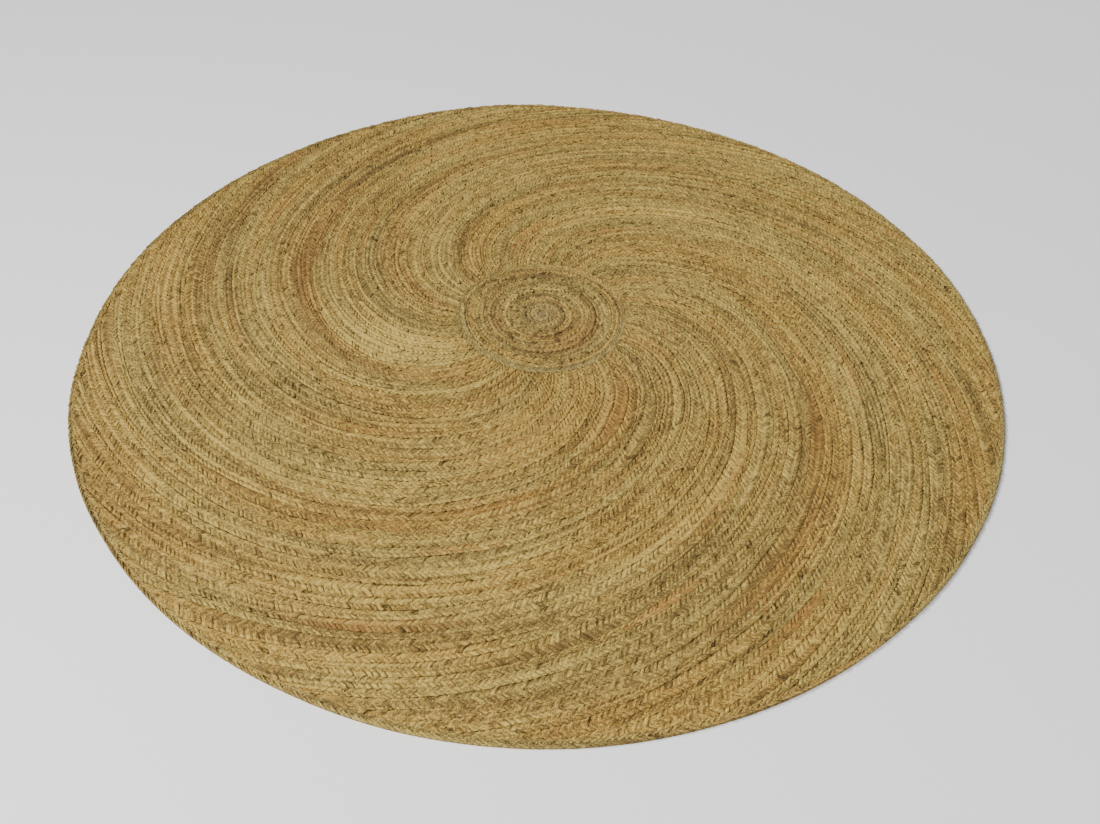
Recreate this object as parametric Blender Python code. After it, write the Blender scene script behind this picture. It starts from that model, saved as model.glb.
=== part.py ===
"""Round jute rug, about 2 m across, lying flat with its centre at the origin.

A disc of plait wound in a flat spiral is the middle.  A ring braid covers the disc's joint with the swirl, a
field of braids that start side by side at the ring and curve out to the rim.  An edge braid is sewn round the
rim.  The plaits themselves are finer than these solids.
"""

from math import cos, floor, pi, sin

import bmesh
import bpy

# Driving sizes, in metres
RUG_RADIUS = 1.000
THICKNESS = 0.009
RING_THICKNESS = 0.0085
EDGE_THICKNESS = 0.0090
RING_OUTER = 0.192
RING_WIDTH = 0.0145
EDGE_WIDTH = 0.013
GAP = 0.0003

# A plait's rounded side, as it shows in section: how far it rounds over at the top and at the underside
TOP_ROUND = 0.0030
BASE_ROUND = 0.0012

# Flat sides round a full turn
RIM_SIDES = 144
DISC_SIDES = 72
FULL_TURN = 360.0

# The rim as it was sewn, out of true by a few millimetres: bearing in degrees from +X towards +Y, and reach in
# millimetres beyond the nominal radius
RIM_REACH = (
    # bearing, reach
    (0, 2.5),
    (12, 2.5),
    (24, -2.0),
    (38, -2.5),
    (50, -3.5),
    (58, -6.0),
    (70, -4.0),
    (82, -0.5),
    (92, 8.5),
    (98, 9.5),
    (108, 5.0),
    (120, -2.5),
    (134, -4.5),
    (154, -3.5),
    (170, -0.5),
    (184, -1.0),
    (200, 5.5),
    (210, 4.0),
    (222, 0.0),
    (246, -2.5),
    (260, 0.5),
    (274, 1.5),
    (290, 0.0),
    (308, -2.0),
    (320, -0.5),
    (334, 3.0),
)

JUTE = (0.37, 0.25, 0.096, 1.0)
GREYED_JUTE = (0.32, 0.235, 0.095, 1.0)
JUTE_ROUGHNESS = 0.9


def clear_scene():
    for thing in list(bpy.data.objects):
        bpy.data.objects.remove(thing, do_unlink=True)


def matte_jute(name, colour):
    material = bpy.data.materials.new(name)
    material.use_nodes = True
    shader = material.node_tree.nodes["Principled BSDF"]
    shader.inputs["Base Color"].default_value = colour
    shader.inputs["Roughness"].default_value = JUTE_ROUGHNESS
    shader.inputs["Metallic"].default_value = 0.0
    return material


def rim_radius(bearing):
    """The rug's radius at a bearing, eased from one row of RIM_REACH to the next and right round."""
    turned = bearing - FULL_TURN * floor(bearing / FULL_TURN)
    rows = RIM_REACH + ((FULL_TURN, RIM_REACH[0][1]),)
    for (start, before), (end, after) in zip(rows, rows[1:]):
        if start <= turned <= end:
            share = (turned - start) / (end - start)
            eased = share * share * (3 - 2 * share)
            return RUG_RADIUS + (before + (after - before) * eased) / 1000
    raise ValueError(bearing)


def around(radius):
    """A radius that is the same at every bearing."""
    return lambda bearing: radius


def rounded_section(thickness):
    """Half of a plait's section, as (distance in from the side, height), from the underside to the top."""
    shoulder = TOP_ROUND * (1 - cos(pi / 4))
    return (
        (BASE_ROUND, 0.0),
        (0.0, BASE_ROUND),
        (0.0, thickness - TOP_ROUND),
        (shoulder, thickness - shoulder),
        (TOP_ROUND, thickness),
    )


def flat_band(name, inner, outer, thickness, sides, material):
    """A flat ring that lies at z = 0, with rounded sides, between two radii that are functions of the bearing."""
    section = rounded_section(thickness)
    shape = bmesh.new()
    loops = []
    for step in range(sides):
        bearing = FULL_TURN * step / sides
        angle = 2 * pi * step / sides
        low, high = inner(bearing), outer(bearing)
        places = [(high - inset, height) for inset, height in section]
        places += [(low + inset, height) for inset, height in reversed(section)]
        loops.append([shape.verts.new((r * cos(angle), r * sin(angle), z)) for r, z in places])
    for step in range(sides):
        here, there = loops[step], loops[(step + 1) % sides]
        for corner in range(len(here)):
            across = (corner + 1) % len(here)
            shape.faces.new((here[corner], there[corner], there[across], here[across]))
    bmesh.ops.recalc_face_normals(shape, faces=shape.faces)
    mesh = bpy.data.meshes.new(name)
    shape.to_mesh(mesh)
    shape.free()
    mesh.materials.append(material)
    mesh.shade_smooth()
    mesh.set_sharp_from_angle(angle=pi / 5)
    band = bpy.data.objects.new(name, mesh)
    bpy.context.collection.objects.link(band)
    return band


def round_disc(name, radius, thickness, material):
    """The middle of the rug, a thin cylinder with its top edge rounded over."""
    bpy.ops.mesh.primitive_cylinder_add(
        vertices=DISC_SIDES, radius=radius, depth=thickness, location=(0, 0, thickness / 2)
    )
    disc = bpy.context.object
    disc.name = name
    disc.data.materials.append(material)
    rounding = disc.modifiers.new("rounded edge", "BEVEL")
    rounding.width = BASE_ROUND
    rounding.segments = 2
    rounding.limit_method = "ANGLE"
    disc.data.shade_smooth()
    disc.data.set_sharp_from_angle(angle=pi / 5)
    return disc


def build_rug():
    clear_scene()
    jute = matte_jute("jute", JUTE)
    greyed = matte_jute("jute_greyed", GREYED_JUTE)
    ring_inner = RING_OUTER - RING_WIDTH
    round_disc("centre_disc", ring_inner - GAP, THICKNESS, jute)
    flat_band("ring_braid", around(ring_inner), around(RING_OUTER), RING_THICKNESS, DISC_SIDES, greyed)
    flat_band(
        "swirl_field",
        around(RING_OUTER + GAP),
        lambda bearing: rim_radius(bearing) - EDGE_WIDTH - GAP,
        THICKNESS,
        RIM_SIDES,
        jute,
    )
    flat_band(
        "edge_braid",
        lambda bearing: rim_radius(bearing) - EDGE_WIDTH,
        rim_radius,
        EDGE_THICKNESS,
        RIM_SIDES,
        jute,
    )


build_rug()
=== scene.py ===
"""A round rug of plaited jute on a pale floor: a spiral disc, a ring braid, a field of braids that swirl out
to the rim, and an edge braid.  Metres, +Z up, the rug's centre at the origin."""

from math import ceil, pi, radians, tau

import bpy
import numpy as np
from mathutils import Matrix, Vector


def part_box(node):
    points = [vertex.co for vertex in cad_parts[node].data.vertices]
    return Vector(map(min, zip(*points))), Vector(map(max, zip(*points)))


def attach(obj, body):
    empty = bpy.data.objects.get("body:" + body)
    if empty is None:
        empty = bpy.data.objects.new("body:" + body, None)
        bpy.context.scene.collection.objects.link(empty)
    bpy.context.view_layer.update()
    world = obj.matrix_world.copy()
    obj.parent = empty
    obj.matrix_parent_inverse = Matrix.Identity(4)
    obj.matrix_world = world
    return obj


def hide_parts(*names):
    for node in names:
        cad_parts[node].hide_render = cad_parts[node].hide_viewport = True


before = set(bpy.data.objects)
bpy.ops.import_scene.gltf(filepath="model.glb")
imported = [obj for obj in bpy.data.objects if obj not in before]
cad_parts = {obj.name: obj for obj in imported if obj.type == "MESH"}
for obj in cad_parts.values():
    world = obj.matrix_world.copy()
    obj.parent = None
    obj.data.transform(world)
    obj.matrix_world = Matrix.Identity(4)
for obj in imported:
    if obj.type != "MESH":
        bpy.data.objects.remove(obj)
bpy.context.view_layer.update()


# ---------------------------------------------------------------------------------------------------------
# The centre disc: one long plait of three jute strands, wound in a flat spiral and sewn turn to turn.  Each
# strand comes over from the plait's side to its middle as a slanting lobe, now from the left and now from the
# right.

DISC_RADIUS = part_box("centre_disc")[1].x
DISC_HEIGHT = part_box("centre_disc")[1].z
DISC_TURNS = 10
DISC_PLAIT_WIDTH = DISC_RADIUS / DISC_TURNS
DISC_LOBE_PITCH = 0.0105
DISC_LENGTHS = 4

# Across a plait, from its left side to its right, as shares of half its width.
SIDE, SHOULDER, CREST, CROWN, MIDDLE = 1.03, 0.82, 0.54, 0.26, 0.0
# Outside a plait's side, where it is turned down to the floor.
WALL, FOOT = 1.06, 0.99
LEFT_COLUMNS = (-SIDE, -SHOULDER, -CREST, -CROWN)
RIGHT_COLUMNS = (CROWN, CREST, SHOULDER, SIDE)
# Along one lobe, from the groove before it to the groove after it: where each row lies as a share of the
# pitch, and how high it stands at the foot, wall, side, shoulder, crest and crown, as shares of the plait's
# height.
LOBE_ROWS = (
    # place, foot, wall, side, shoulder, crest, crown
    (0.00, 0.0, 0.24, 0.60, 0.66, 0.70, 0.67),
    (0.20, 0.0, 0.34, 0.79, 0.88, 0.92, 0.86),
    (0.50, 0.0, 0.38, 0.85, 0.96, 1.00, 0.92),
    (0.80, 0.0, 0.34, 0.78, 0.87, 0.91, 0.85),
)
RANKS = {FOOT: 1, WALL: 2, SIDE: 3, SHOULDER: 4, CREST: 5, CROWN: 6}
ROWS = len(LOBE_ROWS)
# Down the plait's middle, where lobes from both sides tuck under each other in turn.
MIDDLE_HEIGHTS = (0.76, 0.66, 0.76, 0.66)
MIDDLE_SWAYS = (-0.14, 0.0, 0.14, 0.0)
# How far each row of the plait's side is drawn in, as a share of half its width.
SIDE_INSET = (0.06, 0.01, 0.0, 0.01)
STRANDS = 3
# How unevenly hands plait.  Lobes drift and slip along the plait, in pitches, and stand up from it.  A groove
# may gape at the sides.  Single points sway and rise, as shares of half the width and of the height.
DRIFT, SLIP, LIFT = 1.1, 0.19, 0.10
GAPE_DROP, GAPE_INSET = 0.16, 0.04
POINT_SWAY, POINT_LIFT = 0.025, 0.035
HIGHEST = 1.08
# The slow changes along a plait: the shortest that each wave may be, in metres, and the longest.
WAVES, LONGEST_WAVE = (0.06, 0.12, 0.25, 0.5), 0.7
STRIPING = 0.5
# How far apart two crossings of strands take their fibres from the same pattern.
FIBRE_STEP = 0.37
# The swirl's braids, which the slow changes of colour go round.
BRAIDS = 80


def column_of(across):
    """The station, height and sway tables of one column of a plait, one number for each row of a lobe."""
    if across == MIDDLE:
        places = tuple(row / ROWS for row in range(ROWS))
        return places, MIDDLE_HEIGHTS, MIDDLE_SWAYS
    rank = RANKS[abs(across)]
    places = [row[0] for row in LOBE_ROWS]
    heights = [row[rank] for row in LOBE_ROWS]
    sways = [inset if abs(across) >= SIDE else 0.0 for inset in SIDE_INSET]
    if across > 0:  # the right side's lobes lie half a pitch behind the left's
        half = ROWS // 2
        places = [place - 0.5 for place in places[half:]] + [place + 0.5 for place in places[:half]]
        heights = heights[half:] + heights[:half]
        sways = [-sway for sway in sways[half:] + sways[:half]]
    return tuple(places), tuple(heights), tuple(sways)


def run_along(line):
    """The distance run along a line, at each of its points."""
    return np.concatenate([[0], np.cumsum(np.linalg.norm(np.diff(line, axis=0), axis=1))])


def wavering(run, dice):
    """A slow random change along a plait, from 0 to 1."""
    lengths = dice.uniform(WAVES, LONGEST_WAVE)
    waves = [np.sin(run * tau / length + dice.random() * tau) for length in lengths]
    return np.clip(0.5 + 0.3 * np.sum(waves, 0), 0, 1)


def lay_plait(
    stations,
    left,
    right,
    serial,
    dice,
    *,
    start,
    end,
    pitch,
    lean,
    height,
    relief=1.0,
    loop=False,
    wall=False,
    inset=1.0,
    tint=None,
):
    """A plait laid between two lines, as a strip of quads with the marks that its material reads.

    left and right are points at the stations along the plait's middle line.  lean is how many pitches further
    on a lobe's middle end lies than its side end.  relief under 1 makes the lobes flatter, and inset over 1
    draws the plait's sides further in between them.  A loop's end meets its start, and a wall turns the left
    side down to the floor.  tint gives the tone, rust and greying at runs and points.
    """
    lobes = max(2, round((end - start) / pitch))
    pitch = (end - start) / lobes
    rows = np.arange(lobes * ROWS + 1)
    lobe, row = rows // ROWS, rows % ROWS
    columns = ((-FOOT, -WALL) if wall else ()) + LEFT_COLUMNS + (MIDDLE,) + RIGHT_COLUMNS
    drift = DRIFT * (wavering(start + pitch * rows / ROWS, dice) - 0.5)
    slip = dice.normal(0, SLIP, (2, lobes + 2))
    lift = dice.normal(0, LIFT, (2, lobes + 2))
    gape = [wavering(start + pitch * lobe, dice) for _ in range(2)]
    if loop:
        slip[:, lobes], lift[:, lobes] = slip[:, 0], lift[:, 0]
        drift = 0 * drift
        gape = [0 * lobe, 0 * lobe]
    points, runs = [], []
    for across in columns:
        places, heights, sways = (np.array(table)[row] for table in column_of(across))
        sways = inset * sways
        side = int(across > 0)
        if abs(across) == SIDE:  # sewn tight in some lengths, and with an open groove in others
            heights = heights * (1.04 - GAPE_DROP * gape[side] ** 3)
            sways = sways - GAPE_INSET * gape[side] * np.sign(across)
        of_lobe = (rows + ROWS // 2) // ROWS if side else lobe
        nudge = slip[side, of_lobe] * (across != MIDDLE) * np.sin(pi * row / ROWS)
        run = start + pitch * (lobe + places + nudge + drift + lean * (1 - min(abs(across), 1)))
        share = (across + sways + dice.normal(0, POINT_SWAY, len(rows)) + 1) / 2
        x = np.interp(run, stations, left[:, 0]) * (1 - share) + np.interp(run, stations, right[:, 0]) * share
        y = np.interp(run, stations, left[:, 1]) * (1 - share) + np.interp(run, stations, right[:, 1]) * share
        level = height * (1 - relief * (1 - heights)) * (1 + lift[side, of_lobe] * heights)
        rise = height * dice.normal(0, POINT_LIFT, len(rows)) * (heights > 0)
        level = np.minimum(level + rise, height * HIGHEST)
        if abs(across) == FOOT:
            level = 0 * level
        points.append(np.stack([x, y, level], 1))
        runs.append(run)
    points = np.stack(points, 1)
    runs = np.stack(runs, 1)

    near, across_at = np.meshgrid(rows[:-1], np.arange(len(columns) - 1), indexing="ij")
    corners_row = np.stack([near, near, near + 1, near + 1], -1)
    corners_column = np.stack([across_at, across_at + 1, across_at + 1, across_at], -1)
    quads = corners_row * len(columns) + corners_column
    on_right = across_at >= columns.index(MIDDLE)
    face_lobe = np.where(on_right, (near + ROWS // 2) // ROWS, near // ROWS)
    crossing = np.where(on_right, 2 * face_lobe, 2 * face_lobe + 1)
    strand = serial * STRANDS + crossing % STRANDS
    chance = dice.random((2, lobes + 2))[on_right.astype(int), face_lobe]
    first = np.where(on_right, near + ROWS // 2, near) % ROWS
    edges = np.array([row[0] for row in LOBE_ROWS] + [1.0])
    over = np.stack([edges[first], edges[first], edges[first + 1], edges[first + 1]], -1)
    reach = 1 - np.abs(np.array(columns))[corners_column]
    if wall:  # the wall's height counts as width, so that its fibres aren't squeezed
        reach[corners_column == 0] = -0.9
        reach[corners_column == 1] = -0.4
    half_wide = np.linalg.norm(left - right, axis=1).mean() / 2
    slant = np.hypot(half_wide, lean * pitch)
    shades = np.zeros(points.shape) if tint is None else tint(runs, points)
    # Light and dark stripes along the plait, where paler or browner bundles of fibre come to its face.
    for column in range(len(columns)):
        shades[:, column, 0] += STRIPING * (wavering(start + pitch * rows / ROWS / 2, dice) - 0.5)
    strand, chance, fibres = (
        np.repeat(values[..., None], 4, -1) for values in (strand, chance, crossing * FIBRE_STEP + serial)
    )
    strand_mark = np.stack([runs[corners_row, corners_column], strand, chance], -1)
    fibre_mark = np.stack([reach * slant, over * pitch * half_wide / slant, fibres], -1)
    return {
        "points": points.reshape(-1, 3),
        "quads": quads.reshape(-1, 4),
        "strand": strand_mark.reshape(-1, 4, 3),
        "fibre": fibre_mark.reshape(-1, 4, 3),
        "tint": shades[corners_row, corners_column].reshape(-1, 4, 3),
        "row": near.ravel(),
        "rows": lobes * ROWS,
        "start": start,
        "pitch": pitch,
        "lean": lean,
        "share": np.interp(corners_column, (0, len(columns) - 1), (0, 1)).reshape(-1, 4),
    }


CUT_END_HEIGHT = 0.75


def trim_plait(plait, inner, outer):
    """Cuts a plait off at two radii, which are functions of the bearing, and lays its cut ends down."""
    points = plait["points"]
    radius = np.hypot(points[:, 0], points[:, 1])
    bearing = np.arctan2(points[:, 1], points[:, 0])
    low, high = inner(bearing), outer(bearing)
    inside, outside = radius < low, radius > high
    kept = np.clip(radius, low, high) / np.maximum(radius, 1e-9)
    points[:, :2] *= kept[:, None]
    points[:, 2] *= np.where(inside | outside, CUT_END_HEIGHT, 1.0)
    faces = plait["quads"]
    gone = inside[faces].all(1) | outside[faces].all(1)
    for key in ("quads", "strand", "fibre", "tint", "row", "share"):
        plait[key] = plait[key][~gone]
    return plait


def shelve(plait, first, count, total):
    """Gives the plait's faces their places on a flat map, as count shelves out of total, from the first."""
    per_shelf = ceil(plait["rows"] / count)
    shelf = plait["row"] // per_shelf
    begins = plait["start"] + shelf * per_shelf * plait["pitch"] / ROWS
    before, spare = 1.2, 2.6  # pitches left free at a shelf's start and in all, for lobes that slip
    span = (per_shelf / ROWS + plait["lean"] + spare) * plait["pitch"]
    along = (plait["strand"][:, :, 0] - begins[:, None] + plait["pitch"] * before) / span
    up = (first + shelf[:, None] + 0.03 + 0.94 * plait["share"]) / total
    plait["flat"] = np.stack([0.002 + 0.996 * along, up], -1)


RING_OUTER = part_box("ring_braid")[1].x


def out_of_round(points):
    """Shifts points near the disc's rim in or out by a few millimetres, as the real one isn't quite round."""
    radius = np.hypot(points[:, 0], points[:, 1])
    bearing = np.arctan2(points[:, 1], points[:, 0])
    near = np.exp(-((radius - RING_OUTER) / 0.11) ** 2) * np.minimum(1, radius / RING_OUTER)
    push = (
        0.0022 * np.sin(2 * bearing + 2.4)
        + 0.0016 * np.sin(3 * bearing - 0.7)
        + 0.0008 * np.sin(7 * bearing)
    )
    points[:, :2] *= (1 + near * push / np.maximum(radius, 1e-6))[:, None]
    return points


def make_piece(name, plaits, material, node):
    """One mesh object of many plaits, which rides on the rug and stands for a CAD node."""
    offsets = np.cumsum([0] + [len(plait["points"]) for plait in plaits[:-1]])
    points = out_of_round(np.concatenate([plait["points"] for plait in plaits]))
    quads = np.concatenate([plait["quads"] + offset for plait, offset in zip(plaits, offsets)])
    used, quads = np.unique(quads, return_inverse=True)
    points, quads = points[used], quads.reshape(-1, 4)
    mesh = bpy.data.meshes.new(name)
    mesh.vertices.add(len(points))
    mesh.vertices.foreach_set("co", points.astype(np.float32).ravel())
    mesh.loops.add(quads.size)
    mesh.loops.foreach_set("vertex_index", quads.astype(np.int32).ravel())
    mesh.polygons.add(len(quads))
    mesh.polygons.foreach_set("loop_start", np.arange(0, quads.size, 4, dtype=np.int32))
    mesh.update(calc_edges=True)
    mesh.validate()
    for mark in ("strand", "fibre", "tint"):
        values = np.concatenate([plait[mark] for plait in plaits]).astype(np.float32)
        layer = mesh.attributes.new(mark, "FLOAT_VECTOR", "CORNER")
        layer.data.foreach_set("vector", values.ravel())
    flat = np.concatenate([plait["flat"] for plait in plaits]).astype(np.float32)
    mesh.uv_layers.new(name="OFBake", do_init=False).uv.foreach_set("vector", flat.ravel())
    mesh.shade_smooth()
    mesh.materials.append(material)
    piece = bpy.data.objects.new(name, mesh)
    bpy.context.scene.collection.objects.link(piece)
    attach(piece, "root")
    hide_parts(node)
    return piece


def feed(tree, value, socket):
    """Sets a node's socket to a plain value, or wires another node's output to it."""
    if isinstance(value, (int, float, tuple)):
        socket.default_value = value
    else:
        tree.links.new(value, socket)


def maths_node(tree, operation, *values):
    """A new maths node's result."""
    node = tree.nodes.new("ShaderNodeMath")
    node.operation = operation
    for value, socket in zip(values, node.inputs):
        feed(tree, value, socket)
    return node.outputs[0]


def jute_weave():
    """The node group of every plait's material: how raw jute's colour and relief change over a plait."""
    group = bpy.data.node_groups.new("jute strands", "ShaderNodeTree")
    face = group.interface

    def number(name, value):
        made = face.new_socket(name, in_out="INPUT", socket_type="NodeSocketFloat")
        made.default_value = value

    def colour(name, value):
        made = face.new_socket(name, in_out="INPUT", socket_type="NodeSocketColor")
        made.default_value = (*value, 1.0)

    colour("Brown", (0.132, 0.080, 0.022))
    colour("Honey", (0.36, 0.212, 0.044))
    colour("Khaki", (0.30, 0.215, 0.055))
    colour("Straw", (0.545, 0.388, 0.097))
    colour("Rust", (0.40, 0.17, 0.035))
    colour("Dark", (0.06, 0.038, 0.008))
    # The groove colour is painted shade, with some dirt, for the low parts of a plait's face.
    colour("Groove", (0.105, 0.064, 0.020))
    colour("Grey", (0.215, 0.180, 0.088))
    number("Ripeness", 0.5)
    number("Rust share", 0.10)
    number("Dark share", 0.018)
    number("Greying", 0.0)
    face.new_socket("Color", in_out="OUTPUT", socket_type="NodeSocketColor")
    face.new_socket("Roughness", in_out="OUTPUT", socket_type="NodeSocketFloat")
    face.new_socket("Height", in_out="OUTPUT", socket_type="NodeSocketFloat")
    nodes = group.nodes
    given = nodes.new("NodeGroupInput").outputs
    out = nodes.new("NodeGroupOutput").inputs

    def mark(name):
        """The three parts of a mark that the plait's mesh carries."""
        attribute = nodes.new("ShaderNodeAttribute")
        attribute.attribute_name = name
        parts = nodes.new("ShaderNodeSeparateXYZ")
        feed(group, attribute.outputs["Vector"], parts.inputs["Vector"])
        return parts.outputs

    def maths(operation, *values):
        return maths_node(group, operation, *values)

    def times(value, factor):
        return maths("MULTIPLY", value, factor)

    def plus(value, other):
        return maths("ADD", value, other)

    def minus(value, other):
        return maths("SUBTRACT", value, other)

    def vector(x, y, z):
        node = nodes.new("ShaderNodeCombineXYZ")
        for value, socket in zip((x, y, z), node.inputs):
            feed(group, value, socket)
        return node.outputs[0]

    def noise(where, detail=2.0, roughness=0.5, scale=1.0):
        node = nodes.new("ShaderNodeTexNoise")
        node.inputs["Scale"].default_value = scale
        node.inputs["Detail"].default_value = detail
        node.inputs["Roughness"].default_value = roughness
        feed(group, where, node.inputs["Vector"])
        return node.outputs["Fac"]

    def ramp(value, low, high, start=0.0, end=1.0):
        node = nodes.new("ShaderNodeMapRange")
        node.interpolation_type = "SMOOTHSTEP"
        node.clamp = True
        feed(group, value, node.inputs["Value"])
        for name, level in (("From Min", low), ("From Max", high), ("To Min", start), ("To Max", end)):
            feed(group, level, node.inputs[name])
        return node.outputs["Result"]

    def mix(share, a, b):
        node = nodes.new("ShaderNodeMix")
        node.data_type = "RGBA"
        node.clamp_factor = True
        for value, socket in ((share, node.inputs[0]), (a, node.inputs[6]), (b, node.inputs[7])):
            feed(group, value, socket)
        return node.outputs[2]

    strand, fibre, tint = mark("strand"), mark("fibre"), mark("tint")
    run, which, chance = strand["X"], strand["Y"], strand["Z"]
    along, over, lobe = fibre["X"], fibre["Y"], fibre["Z"]
    place = nodes.new("ShaderNodeTexCoord").outputs["Object"]
    spot = nodes.new("ShaderNodeSeparateXYZ")
    feed(group, place, spot.inputs["Vector"])
    level = spot.outputs["Z"]

    # How ripe the fibre is, from brown to straw: by the batch, the yarn, the lobe and the single fibre.
    braid = maths("FLOOR", times(which, 1 / STRANDS))
    batch = noise(vector(times(run, 2.0), times(braid, 0.83), 3.0), detail=3.0, roughness=0.6)
    yarn = noise(vector(times(run, 5.0), times(which, 7.31), 9.0), detail=3.0)
    sweep = times(braid, tau / BRAIDS)
    round_x = times(maths("COSINE", sweep), 2.4)
    round_y = times(maths("SINE", sweep), 2.4)
    patch = noise(vector(times(run, 1.3), round_x, round_y))
    clump = noise(vector(times(along, 190.0), times(over, 380.0), times(lobe, 3.7)), roughness=0.6)
    fuzz = noise(place, detail=3.0, roughness=0.7, scale=380.0)
    streak = noise(
        vector(times(along, 70.0), times(over, 1500.0), times(lobe, 3.7)),
        detail=3.0,
        roughness=0.6,
    )
    weights = (
        (batch, 0.75),
        (yarn, 0.4),
        (patch, 0.6),
        (clump, 1.6),
        (fuzz, 3.2),
        (streak, 0.6),
        (chance, 0.4),
    )
    ripe = plus(given["Ripeness"], tint["X"])
    for value, weight in weights:
        ripe = plus(ripe, times(minus(value, 0.5), weight))
    dark_strand = noise(vector(times(run, 4.0), times(which, 5.13), 70.0))
    ripe = minus(ripe, ramp(dark_strand, 0.58, 0.70, 0.0, 0.12))

    # Its hue, from greenish khaki to honey, and then the brown, straw, rust and dark strands.
    hue = noise(vector(times(run, 3.1), times(which, 0.5), 50.0), detail=3.0)
    ageing = noise(vector(times(run, 1.9), times(round_x, 1.8), times(round_y, 1.8)))
    hue = plus(times(hue, 0.6), times(minus(ageing, 0.2), 1.2))
    tan = mix(ramp(hue, 0.50, 0.82), given["Khaki"], given["Honey"])
    tone = mix(ramp(ripe, 0.0, 0.5), given["Brown"], tan)
    tone = mix(ramp(ripe, 0.5, 1.05), tone, given["Straw"])
    rust_row = times(plus(braid, times(which, 0.2)), 0.8)
    rusty = ramp(
        noise(vector(times(run, 2.9), rust_row, 21.0)),
        minus(0.72, given["Rust share"]),
        minus(0.86, given["Rust share"]),
        0.0,
        0.5,
    )
    tone = mix(plus(rusty, tint["Y"]), tone, given["Rust"])
    dark_yarn = noise(vector(times(run, 5.0), times(which, 5.77), 33.0))
    dark_share = plus(given["Dark share"], ramp(dark_yarn, 0.64, 0.74, 0.0, 0.3))
    fleck = times(maths("LESS_THAN", chance, dark_share), ramp(clump, 0.54, 0.42, 0.0, 0.9))
    tone = mix(fleck, tone, given["Dark"])

    # Painted shade and dirt in the grooves: the lower a point of the face lies, the more it is darkened
    # towards the groove colour, but not on the underside. And wear over all.
    deep = times(ramp(level, 0.0032, 0.0070, 1.0, 0.0), ramp(level, 0.0008, 0.002))
    tone = mix(times(deep, 0.6), tone, given["Groove"])
    feed(group, mix(plus(given["Greying"], tint["Z"]), tone, given["Grey"]), out["Color"])
    feed(group, ramp(streak, 0.3, 0.7, 0.95, 0.80), out["Roughness"])

    # The twisted yarns stand up in ridges 2.1 mm apart, with loose fibre over them.
    ply = maths("ABSOLUTE", maths("SINE", times(over, pi / 0.0021)))
    relief = plus(times(ply, 0.3), times(streak, 0.7))
    feed(group, plus(relief, times(plus(clump, fuzz), 1.2)), out["Height"])
    return group


JUTE_STRANDS = jute_weave()


def jute_material(name, bump=0.0011, **settings):
    """Matte plaited jute, from the shared strands group with its own values."""
    material = bpy.data.materials.new(name)
    material.use_nodes = True
    nodes, links = material.node_tree.nodes, material.node_tree.links
    shader = nodes["Principled BSDF"]
    strands = nodes.new("ShaderNodeGroup")
    strands.node_tree = JUTE_STRANDS
    for setting, value in settings.items():
        strands.inputs[setting.replace("_", " ")].default_value = value
    links.new(strands.outputs["Color"], shader.inputs["Base Color"])
    links.new(strands.outputs["Roughness"], shader.inputs["Roughness"])
    fuzz = nodes.new("ShaderNodeBump")
    fuzz.inputs["Strength"].default_value = 0.8
    fuzz.inputs["Distance"].default_value = bump
    links.new(strands.outputs["Height"], fuzz.inputs["Height"])
    links.new(fuzz.outputs["Normal"], shader.inputs["Normal"])
    shader.inputs["Specular IOR Level"].default_value = 0.25
    return material


DISC_SERIAL, RING_SERIAL, EDGE_SERIAL, KNOT_SERIAL = 900, 901, 902, 903
DISC_LEAN = 0.6
DISC_SHELVES, KNOT_SHELVES = 8, 1
LENGTH_LAP = 0.008

jute_disc = jute_material("jute of the disc", Rust_share=0.12, Dark_share=0.09, Greying=0.06)

STEPS_IN_TURN = 120
LEAD_IN = 0.8  # of a turn, where the plait's left side starts from the centre
turn_steps = round((DISC_TURNS + LEAD_IN) * STEPS_IN_TURN)
turn = np.linspace(-LEAD_IN * tau, DISC_TURNS * tau, turn_steps + 1)
inward = np.clip(DISC_PLAIT_WIDTH * turn / tau, 0, DISC_RADIUS)
outward = np.clip(DISC_PLAIT_WIDTH * (turn / tau + 1), 0, DISC_RADIUS)
heading = np.stack([np.cos(-turn), np.sin(-turn)], 1)
disc_left, disc_right = heading * outward[:, None], heading * inward[:, None]
disc_run = run_along((disc_left + disc_right) / 2)
dice = np.random.default_rng(11)


def disc_tint(runs, points):
    """The disc's greyed middle, its redder side, and its lighter and darker turns."""
    radius = np.hypot(points[..., 0], points[..., 1])
    bearing = np.arctan2(points[..., 1], points[..., 0])
    rusty = np.exp(-(((radius - 0.105) / 0.03) ** 2)) * np.exp(-(((bearing + 0.9) / 0.8) ** 2))
    turns = np.sin(radius * 85 + 1.2 * np.sin(2 * bearing + 1.0)) + 0.6 * np.sin(radius * 190 + bearing)
    tone = 0.16 * turns - 0.22 * rusty - 0.12
    grey = 0.42 * np.exp(-((radius / 0.034) ** 2))
    return np.stack([tone, 0.35 * rusty, grey], -1)


# The plait's own beginning, folded over the middle.
KNOT_RADIUS = 0.013
knot = lay_plait(
    np.array([-0.03, 0.03]),
    np.array([[-0.026, 0.020], [0.034, -0.004]]),
    np.array([[-0.034, 0.004], [0.026, -0.020]]),
    KNOT_SERIAL,
    dice,
    start=-0.014,
    end=0.009,
    pitch=0.0075,
    lean=DISC_LEAN,
    height=DISC_HEIGHT,
    relief=0.85,
    tint=disc_tint,
)
off_centre = np.hypot(knot["points"][:, 0], knot["points"][:, 1])
knot["points"][:, 2] *= 1.07 - 0.28 * (off_centre / KNOT_RADIUS) ** 2
shelve(knot, DISC_SHELVES, KNOT_SHELVES, DISC_SHELVES + KNOT_SHELVES)

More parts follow.
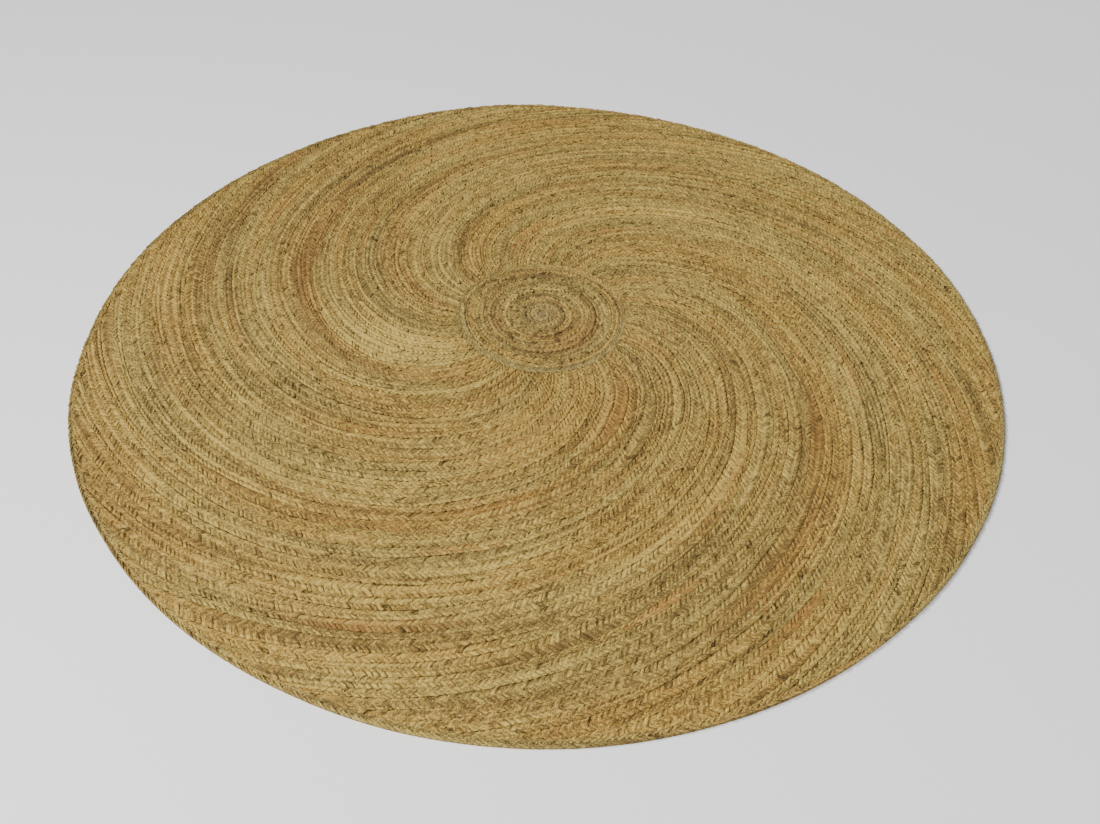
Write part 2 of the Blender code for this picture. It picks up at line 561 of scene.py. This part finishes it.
cuts = np.linspace(0.002, disc_run[-1] - 0.012, DISC_LENGTHS + 1)
for length in range(DISC_LENGTHS):
    plait = lay_plait(
        disc_run,
        disc_left,
        disc_right,
        DISC_SERIAL,
        dice,
        start=cuts[length] - (LENGTH_LAP if length else 0.0),
        end=cuts[length + 1],
        pitch=DISC_LOBE_PITCH,
        lean=DISC_LEAN,
        height=DISC_HEIGHT,
        tint=disc_tint,
    )
    shelve(plait, 0, DISC_SHELVES, DISC_SHELVES + KNOT_SHELVES)
    plaits = [knot, plait] if length == 0 else [plait]
    make_piece(f"disc_plait_{length + 1}", plaits, jute_disc, "centre_disc")


# ---------------------------------------------------------------------------------------------------------
# The undersides: the lower faces of the same plaits, flat from lying on the floor, with their lobes as
# relief.  They close the rug from below.  The disc's is laid here, and the swirl's together with its braids.

UNDERSIDE_HEIGHT = 0.0004


def underside_relief():
    """The node group for a plait's flattened lower face: its lobes' height, and how deep its grooves are."""
    group = bpy.data.node_groups.new("flattened plait", "ShaderNodeTree")
    group.interface.new_socket("Height", in_out="OUTPUT", socket_type="NodeSocketFloat")
    group.interface.new_socket("Groove", in_out="OUTPUT", socket_type="NodeSocketFloat")
    nodes, links = group.nodes, group.links
    out = nodes.new("NodeGroupOutput")
    mark = nodes.new("ShaderNodeAttribute")
    mark.attribute_name = "fibre"
    parts = nodes.new("ShaderNodeSeparateXYZ")
    links.new(mark.outputs["Vector"], parts.inputs["Vector"])

    def maths(operation, *values):
        return maths_node(group, operation, *values)

    across = maths("SUBTRACT", maths("MULTIPLY", maths("FRACT", parts.outputs["Y"]), 2.0), 1.0)
    off_middle = maths("ABSOLUTE", across)
    behind = maths("MULTIPLY", maths("GREATER_THAN", across, 0.0), 0.5)
    phase = maths("ADD", maths("ADD", parts.outputs["X"], maths("MULTIPLY", off_middle, 0.8)), behind)
    lobe = maths("ABSOLUTE", maths("SINE", maths("MULTIPLY", phase, pi)))
    crown = maths("SINE", maths("MULTIPLY", off_middle, pi))
    height = maths("MULTIPLY", maths("POWER", lobe, 0.5), maths("POWER", maths("MAXIMUM", crown, 0.02), 0.4))
    links.new(height, out.inputs["Height"])
    links.new(maths("SUBTRACT", 1.0, height), out.inputs["Groove"])
    return group


FLATTENED_PLAIT = underside_relief()


def underside_material(name):
    """The plaits' lower faces: the same jute, with painted shade that darkens it in the grooves."""
    material = bpy.data.materials.new(name)
    material.use_nodes = True
    nodes, links = material.node_tree.nodes, material.node_tree.links
    shader = nodes["Principled BSDF"]
    strands = nodes.new("ShaderNodeGroup")
    strands.node_tree = JUTE_STRANDS
    plaits = nodes.new("ShaderNodeGroup")
    plaits.node_tree = FLATTENED_PLAIT
    # Painted shade: the deeper the groove between the flattened lobes, the more the jute is darkened towards
    # dark brown.
    shade = nodes.new("ShaderNodeMix")
    shade.data_type = "RGBA"
    shade.inputs[7].default_value = (0.10, 0.058, 0.016, 1)
    links.new(plaits.outputs["Groove"], shade.inputs[0])
    links.new(strands.outputs["Color"], shade.inputs[6])
    links.new(shade.outputs[2], shader.inputs["Base Color"])
    links.new(strands.outputs["Roughness"], shader.inputs["Roughness"])
    lobes = nodes.new("ShaderNodeBump")
    lobes.inputs["Strength"].default_value = 0.9
    lobes.inputs["Distance"].default_value = 0.0025
    links.new(plaits.outputs["Height"], lobes.inputs["Height"])
    links.new(lobes.outputs["Normal"], shader.inputs["Normal"])
    shader.inputs["Specular IOR Level"].default_value = 0.2
    return material


def lay_underside(stations, left, right, serial, *, start, end, pitch, step=0.02):
    """The flat lower face of a plait between two lines, with marks that count its lobes."""
    count = max(2, ceil((end - start) / step))
    run = np.linspace(start, end, count + 1)
    points = []
    for side in (left, right):
        x, y = np.interp(run, stations, side[:, 0]), np.interp(run, stations, side[:, 1])
        points.append(np.stack([x, y, np.full(len(run), UNDERSIDE_HEIGHT)], 1))
    points = np.stack(points, 1)
    near = np.arange(count)
    quads = np.stack([near * 2, near * 2 + 2, near * 2 + 3, near * 2 + 1], -1)
    runs, side = run[quads // 2], quads % 2
    across = np.where(side == 0, 0.0001, 0.9999)
    strand = np.full(runs.shape, serial * STRANDS + 1.0)
    return {
        "points": points.reshape(-1, 3),
        "quads": quads,
        "strand": np.stack([runs, strand, np.full(runs.shape, 0.5)], -1),
        "fibre": np.stack([runs / pitch, across, np.full(runs.shape, serial * FIBRE_STEP)], -1),
        "tint": np.zeros((*runs.shape, 3)),
        "row": near,
        "rows": count,
        "share": side.astype(float),
        "start": start,
        "pitch": step * ROWS,
        "lean": 0.0,
    }


jute_underside = underside_material("jute of the underside")
lower_disc = lay_underside(
    disc_run,
    disc_left,
    disc_right,
    DISC_SERIAL,
    start=0.0,
    end=disc_run[-1],
    pitch=DISC_LOBE_PITCH,
    step=0.006,
)
UNDERSIDE_SHELVES = 16
shelve(lower_disc, 0, UNDERSIDE_SHELVES, UNDERSIDE_SHELVES)
disc_underside = make_piece("disc_underside", [lower_disc], jute_underside, "centre_disc")


# ---------------------------------------------------------------------------------------------------------
# The ring braid: one turn of a flatter plait, greyed by wear, sewn over the joint between the disc and the
# braids that start at it.

RING_INNER = DISC_RADIUS
RING_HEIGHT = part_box("ring_braid")[1].z
RING_PITCH = 0.0105
RING_SHELVES = 9

jute_ring = jute_material("jute of the ring", Rust_share=0.0, Dark_share=0.01)


def steady(radius):
    """A radius that is the same at every bearing."""
    return lambda bearing: np.full(len(bearing), radius)


def closed_plait(inner, outer, serial, dice, steps=720, **settings):
    """A plait that runs clockwise right round between two radii, which are functions of the bearing."""
    bearing = -np.linspace(0, tau, steps + 1)
    lead = 24  # steps past the full turn, for the lobes that lean over its end
    bearing = np.concatenate([bearing, bearing[1 : lead + 1] - tau])
    heading = np.stack([np.cos(bearing), np.sin(bearing)], 1)
    left, right = heading * outer(bearing)[:, None], heading * inner(bearing)[:, None]
    run = run_along((left + right) / 2)
    return lay_plait(run, left, right, serial, dice, start=0.0, end=run[steps], loop=True, **settings)


def ring_tint(runs, points):
    """The ring's grey, strongest at the front."""
    bearing = np.arctan2(points[..., 1], points[..., 0])
    grey = 0.16 + 0.12 * np.cos(bearing + radians(65))
    return np.stack([0 * grey - 0.10, 0 * grey, grey], -1)


ring = closed_plait(
    steady(RING_INNER - 0.0008),
    steady(RING_OUTER + 0.0012),
    RING_SERIAL,
    dice,
    pitch=RING_PITCH,
    lean=1.1,
    height=RING_HEIGHT,
    relief=0.8,
    tint=ring_tint,
)
shelve(ring, 0, RING_SHELVES, RING_SHELVES)
ring_plait = make_piece("ring_plait", [ring], jute_ring, "ring_braid")


# ---------------------------------------------------------------------------------------------------------
# The swirl: plaits laid side by side from the ring, nearly square to it, that curve clockwise to the rim and
# run out there at a shallow angle.  They are sewn edge to edge, and lie as unevenly as hands left them.

BRAIDS_IN_PIECE = 8
BRAID_TURN = tau / BRAIDS
# Laid side by side at one width, braids follow the curves that a thread unwinds from a circle of this radius.
# They start square to the ring, and the sharpness is how soon they turn into those curves.
SWIRL_RADIUS = 0.252
SHARPNESS = 8
SWIRL_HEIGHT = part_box("swirl_field")[1].z
SWIRL_PITCH = 0.0112
EDGE_LAP = 0.003
UNDERSIDE_SHORT = 0.002

# The rim and the edge braid's inner side, as reaches at equal steps round the rug.
rim_points = np.array([vertex.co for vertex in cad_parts["edge_braid"].data.vertices])
rim_bearings = np.arctan2(rim_points[:, 1], rim_points[:, 0])
rim_reach = np.hypot(rim_points[:, 0], rim_points[:, 1])
RIM_STEPS = 144
rim_slot = np.round(rim_bearings / tau * RIM_STEPS).astype(int) % RIM_STEPS
rim_table = np.array([rim_reach[rim_slot == step].max() for step in range(RIM_STEPS)])
edge_table = np.array([rim_reach[rim_slot == step].min() for step in range(RIM_STEPS)])


def rim(bearing):
    """How far the rug reaches at a bearing."""
    return np.interp(bearing / tau * RIM_STEPS, np.arange(RIM_STEPS), rim_table, period=RIM_STEPS)


def edge_inner(bearing):
    """How far out the edge braid starts at a bearing."""
    return np.interp(bearing / tau * RIM_STEPS, np.arange(RIM_STEPS), edge_table, period=RIM_STEPS)


def steepness(radius):
    """The sine of a swirl braid's angle to the circle through it: nearly 1 at the ring, and then falling."""
    tight = (radius**-SHARPNESS + SWIRL_RADIUS**-SHARPNESS) ** (-1 / SHARPNESS)
    return np.minimum(tight / radius, 0.9999)


flow_radius = np.linspace(0.17, 1.06, 3000)
flow_slope = -np.sqrt(1 - steepness(flow_radius) ** 2) / steepness(flow_radius) / flow_radius
flow_steps = (flow_slope[1:] + flow_slope[:-1]) / 2 * np.diff(flow_radius)
flow_turn = np.concatenate([[0], np.cumsum(flow_steps)])


def braid_line(start_bearing, radius):
    """Points of the line that leaves the ring at a bearing, at these radii, with the wander of hand work."""
    wander = (
        0.012 * np.sin(3 * start_bearing + 5 * radius + 1.0)
        + 0.009 * np.sin(7 * start_bearing - 9 * radius + 2.0)
        + 0.005 * np.sin(13 * start_bearing + 14 * radius + 0.5)
        + 0.0022 * np.sin(29 * start_bearing - 23 * radius)
    )
    bearing = start_bearing + np.interp(radius, flow_radius, flow_turn) + wander
    return np.stack([radius * np.cos(bearing), radius * np.sin(bearing)], -1)


# The lengths where one batch of fibre was darker, lighter or redder than the rest.
STREAKS = (
    # braid, distance from the centre, length, braids wide, tone, rust
    (2, 0.85, 0.20, 1.0, 0.00, 0.32),
    (10, 0.65, 0.20, 1.5, -0.45, 0.20),
    (11, 0.80, 0.40, 1.0, -0.05, 0.16),
    (14, 0.35, 0.20, 1.5, 0.30, 0.00),
    (23, 0.50, 0.35, 3.5, 0.25, 0.00),
    (32, 0.35, 0.25, 1.5, -0.30, 0.00),
    (42, 0.60, 0.55, 1.5, -0.25, 0.00),
    (45, 0.85, 0.35, 2.5, 0.25, 0.00),
    (46, 0.65, 0.15, 1.0, -0.30, 0.00),
    (47, 0.30, 0.15, 4.0, 0.25, 0.00),
    (49, 0.35, 0.25, 4.0, 0.35, 0.00),
    (49, 0.90, 0.15, 2.5, -0.10, 0.20),
    (51, 0.60, 0.25, 2.0, -0.35, 0.16),
    (51, 0.80, 0.40, 1.0, -0.45, 0.00),
    (52, 0.45, 0.40, 2.0, -0.10, 0.16),
    (54, 0.75, 0.35, 1.0, -0.25, 0.00),
    (55, 0.40, 0.35, 1.5, 0.25, 0.00),
    (60, 0.75, 0.15, 1.0, -0.35, 0.00),
    (62, 0.80, 0.20, 1.0, -0.25, 0.20),
    (62, 0.90, 0.25, 1.0, -0.30, 0.00),
    (64, 0.35, 0.20, 3.0, -0.05, 0.16),
    (70, 0.35, 0.15, 1.5, -0.25, 0.28),
    (71, 0.55, 0.20, 2.0, 0.00, 0.20),
    (71, 0.85, 0.15, 3.0, -0.25, 0.00),
)

# From under the ring to past the rim, closer together where the braids turn.
BRAID_START, BRAID_END = 0.172, 1.045
radii = BRAID_START + (BRAID_END - BRAID_START) * np.linspace(0, 1, 700) ** 1.3
seam_waves = np.random.default_rng(80).random((BRAIDS, 3)) * tau


def seam_line(number, radius):
    """The line between two swirl braids, which no hand would sew quite even."""
    first, second, third = seam_waves[number % BRAIDS]
    slip = (
        0.13 * np.sin(radius * tau / 0.55 + first)
        + 0.10 * np.sin(radius * tau / 0.24 + second)
        + 0.06 * np.sin(radius * tau / 0.10 + third)
    )
    return braid_line((number + 0.5 + slip) * BRAID_TURN, radius)


def swirl_plait(number):
    """One swirl braid's plait and its underside, cut off under the ring and at the edge."""
    middle = braid_line(number * BRAID_TURN, radii)
    along = np.gradient(middle, axis=0)
    along /= np.linalg.norm(along, axis=1)[:, None]
    run = run_along(middle)
    sides = []
    for seam in (number, number - 1):  # where the line square to the braid meets the seam beside it
        radius = radii.copy()
        for _ in range(5):
            offset = seam_line(seam, radius) - middle
            radius = np.clip(radius - (offset * along).sum(1) * steepness(radius), 0.171, 1.055)
        sides.append(seam_line(seam, radius))

    def swirl_tint(runs, points):
        shades = np.zeros(points.shape)
        for braid, distance, length, wide, tone, rust in STREAKS:
            beside = (number - braid + BRAIDS / 2) % BRAIDS - BRAIDS / 2
            share = np.exp(-((1.5 * beside / wide) ** 2))
            if share > 0.05:
                off = runs - np.interp(distance, radii, run)
                here = np.exp(-((1.5 * off / length) ** 2)) * share
                shades[..., 0] += tone * here
                shades[..., 1] += rust * here
        return shades

    dice = np.random.default_rng(1000 + number)
    dice.random()  # one draw is passed over, so that the later ones keep their places
    lower = lay_underside(run, *sides, number, start=0.0, end=run[-1], pitch=SWIRL_PITCH)
    plait = lay_plait(
        run,
        *sides,
        number,
        dice,
        start=0.0,
        end=run[-1] - 0.02,
        pitch=SWIRL_PITCH * (1 + 0.05 * dice.normal()),
        lean=0.9,
        height=SWIRL_HEIGHT * (1 + 0.025 * dice.normal()),
        tint=swirl_tint,
    )
    plait = trim_plait(plait, steady(RING_OUTER - 0.001), lambda bearing: edge_inner(bearing) + EDGE_LAP)
    lower = trim_plait(lower, steady(RING_INNER), lambda bearing: rim(bearing) - UNDERSIDE_SHORT)
    return plait, lower


jute_swirl = jute_material("jute of the swirl")
BRAID_SHELVES = 4
swirl_groups, lower_swirl = [], []
for first in range(0, BRAIDS, BRAIDS_IN_PIECE):
    plaits, lowers = zip(*[swirl_plait(number) for number in range(first, first + BRAIDS_IN_PIECE)])
    for place, plait in enumerate(plaits):
        shelve(plait, BRAID_SHELVES * place, BRAID_SHELVES, BRAID_SHELVES * BRAIDS_IN_PIECE)
    lower_swirl.extend(lowers)
    name = f"swirl_braids_{first // BRAIDS_IN_PIECE + 1:02d}"
    swirl_groups.append(make_piece(name, plaits, jute_swirl, "swirl_field"))
for place, lower in enumerate(lower_swirl):
    shelve(lower, place, 1, BRAIDS)
swirl_underside = make_piece("swirl_underside", lower_swirl, jute_underside, "swirl_field")


# ---------------------------------------------------------------------------------------------------------
# The edge braid: a plait of the same jute, sewn round the rim over the ends of the swirl braids.  Its outer
# side is turned down to the floor.

EDGE_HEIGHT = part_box("edge_braid")[1].z
EDGE_PITCH = 0.0105
EDGE_SHELVES = 16

jute_edge = jute_material("jute of the edge", Rust_share=0.02, Greying=0.12)
edge = closed_plait(
    edge_inner,
    lambda bearing: rim(bearing) - 0.0005,
    EDGE_SERIAL,
    dice,
    steps=1440,
    pitch=EDGE_PITCH,
    lean=1.3,
    height=EDGE_HEIGHT,
    wall=True,
    inset=4.0,
)
shelve(edge, 0, EDGE_SHELVES, EDGE_SHELVES)
edge_plait = make_piece("edge_plait", [edge], jute_edge, "edge_braid")


# ---------------------------------------------------------------------------------------------------------
# The floor, the lights and the camera: a plain pale floor, daylight from a window on the left, a soft panel
# near the viewer, and the eye of someone who stands by the rug.

bpy.ops.object.select_all(action="DESELECT")
bpy.ops.mesh.primitive_plane_add(size=24, location=(0, 0, 0))
floor = bpy.context.object
floor.name = "floor"
floor_paint = bpy.data.materials.new("pale floor")
floor_paint.use_nodes = True
floor_shader = floor_paint.node_tree.nodes["Principled BSDF"]
floor_shader.inputs["Base Color"].default_value = (0.92, 0.92, 0.92, 1)
floor_shader.inputs["Roughness"].default_value = 0.8
floor.data.materials.append(floor_paint)

world = bpy.data.worlds.new("studio")
bpy.context.scene.world = world
world.use_nodes = True
background = world.node_tree.nodes["Background"]
background.inputs["Color"].default_value = (1, 1, 1, 1)
background.inputs["Strength"].default_value = 0.385


def aim_at_rug(light):
    """Turns a light towards the rug's centre."""
    light.rotation_euler = (-light.location.normalized()).to_track_quat("-Z", "Y").to_euler()


bpy.ops.object.light_add(type="SUN", location=(-4.0, 0.1, 3.5))
window = bpy.context.object
window.name = "window light"
window.data.energy = 3.4
window.data.angle = radians(18)
aim_at_rug(window)

bpy.ops.object.light_add(type="AREA", location=(-1.9, -2.5, 2.5))
near_panel = bpy.context.object
near_panel.name = "near panel"
near_panel.data.energy = 120
near_panel.data.size = 1.6
aim_at_rug(near_panel)

bpy.ops.object.camera_add(
    location=(0.0, -1.532, 1.2817),
    rotation=(radians(43.816), radians(-1.304), radians(0.418)),
)
camera = bpy.context.object
camera.data.lens = 28.33
camera.data.sensor_width = 36.0
bpy.context.scene.camera = camera
